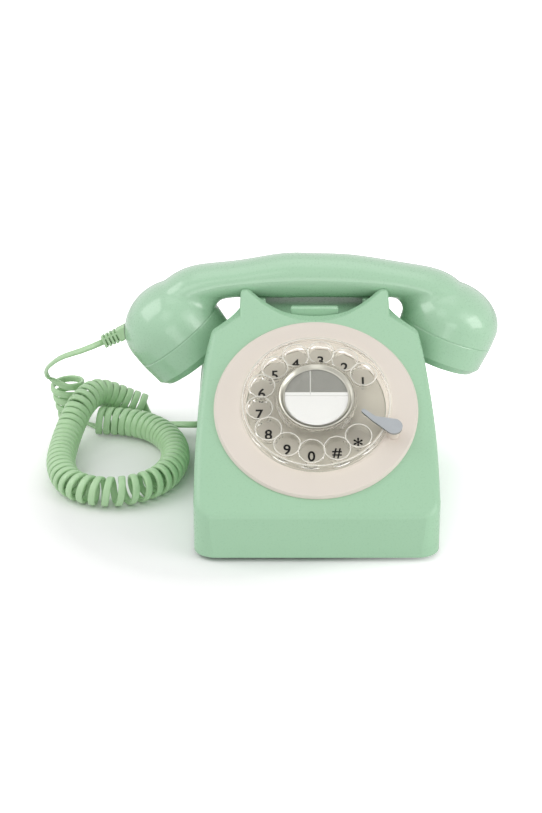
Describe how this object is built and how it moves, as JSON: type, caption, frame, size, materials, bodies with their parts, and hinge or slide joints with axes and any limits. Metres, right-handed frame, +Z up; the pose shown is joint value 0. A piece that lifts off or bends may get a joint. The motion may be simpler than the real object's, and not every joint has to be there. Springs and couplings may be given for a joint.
{
  "type": "rotary telephone",
  "caption": "Desk telephone with a clear rotary finger wheel on a sloping face, a lift-off handset lying across a saddle cradle and a long curled cord from the handset's left end.",
  "frame": {"origin": "on the table, under the middle of the telephone without its cord", "axes": "+X to the right as seen by the caller, -Y towards the caller, +Z up"},
  "size_m": [0.287, 0.2133, 0.1351],
  "materials": {
    "case_plastic": "smooth moulded gloss",
    "handset_plastic": "smooth moulded gloss",
    "cord_jacket": "satin flexible jacket",
    "plug_clear": "clear moulded plastic",
    "ring_plastic": "satin off-white",
    "plate_paint": "satin warm grey",
    "wheel_clear": "clear moulded plastic",
    "card_print": "matt card",
    "stop_metal": "polished metal",
    "steel": "bright plated steel",
    "brass": "machined brass",
    "dark_plastic": "matt black",
    "hook_plastic": "smooth moulded gloss",
    "rubber": "matt rubber",
    "copper_winding": "enamelled copper",
    "board": "laminate",
    "post_plastic": "moulded nylon"
  },
  "bodies": {
    "base": {"base_plate": "steel", "base_screws": "steel", "board_parts": "dark_plastic", "board_posts": "post_plastic", "case_shell": "case_plastic", "circuit_board": "board", "contact_block": "dark_plastic", "cord_curls": "cord_jacket", "cord_lead": "cord_jacket", "cord_plug": "plug_clear", "cord_tail": "cord_jacket", "dial_back_plate": "steel", "dial_housing": "dark_plastic", "dial_pillars": "steel", "dial_ring": "ring_plastic", "dial_screws": "steel", "finger_stop": "stop_metal", "gong_left": "brass", "gong_posts": "steel", "gong_right": "brass", "gong_screws": "steel", "governor_cup": "brass", "handset_jack": "dark_plastic", "hook_bracket": "steel", "hook_pin": "steel", "hook_switch": "dark_plastic", "line_socket": "dark_plastic", "number_plate": "plate_paint", "pulse_contacts": "brass", "recall_switch": "dark_plastic", "return_spring": "steel", "ringer_coil": "copper_winding", "ringer_frame": "steel", "rubber_feet": "rubber", "spindle_bush": "brass", "spring_post": "steel"},
    "dial": {"finger_wheel": "wheel_clear", "hub_ring": "stop_metal", "label_card": "card_print", "label_cover": "wheel_clear", "dial_spindle": "steel", "drive_gear": "brass", "pulse_cam": "dark_plastic"},
    "governor": {"governor_pinion": "brass", "governor_rotor": "steel"},
    "handset": {"handset_handle": "handset_plastic", "receiver_cap": "handset_plastic", "transmitter_cap": "handset_plastic", "receiver_capsule": "dark_plastic", "transmitter_capsule": "dark_plastic", "cord_boot": "cord_jacket"},
    "plungers": {"hook_plunger_left": "hook_plastic", "hook_plunger_right": "hook_plastic"},
    "lever": {"hook_lever": "steel"},
    "button": {"recall_button": "hook_plastic"},
    "striker": {"clapper": "steel"}
  },
  "joints": [
    {"name": "dial_spin", "type": "hinge", "parent": "base", "child": "dial", "pos_m": [0, -0.03875, 0.0702], "axis": [0, 0.5736, -0.8192], "range_deg": [0, 334], "stiffness_Nm_per_rad": 0.01, "springref_deg": -34.38},
    {"name": "governor_spin", "type": "hinge", "parent": "base", "child": "governor", "pos_m": [-0.02631, -0.04659, 0.06471], "axis": [0, 0.5736, -0.8192], "range_deg": [-1340, 4]},
    {"name": "handset_lift", "type": "slide", "parent": "base", "child": "handset", "axis": [0, 0, 1], "range_m": [0, 0.12]},
    {"name": "hook_rise", "type": "slide", "parent": "base", "child": "plungers", "axis": [0, 0, 1], "range_m": [0, 0.0042]},
    {"name": "lever_turn", "type": "hinge", "parent": "base", "child": "lever", "pos_m": [0, 0.052, 0.086], "axis": [-1, 0, 0], "range_deg": [0, 13.5]},
    {"name": "recall_press", "type": "slide", "parent": "base", "child": "button", "axis": [0, 0, -1], "range_m": [0, 0.0025], "stiffness_N_per_m": 300},
    {"name": "clapper_swing", "type": "hinge", "parent": "base", "child": "striker", "pos_m": [0, 0.034, 0.015], "axis": [0, 0, 1], "range_deg": [-10, 10]}
  ],
  "couplings": [
    {"joint": "governor_spin", "follows": "dial_spin", "ratio": -4},
    {"joint": "hook_rise", "follows": "handset_lift", "ratio": 0.033333},
    {"joint": "lever_turn", "follows": "handset_lift", "rad_per_m": 1.8908}
  ]
}
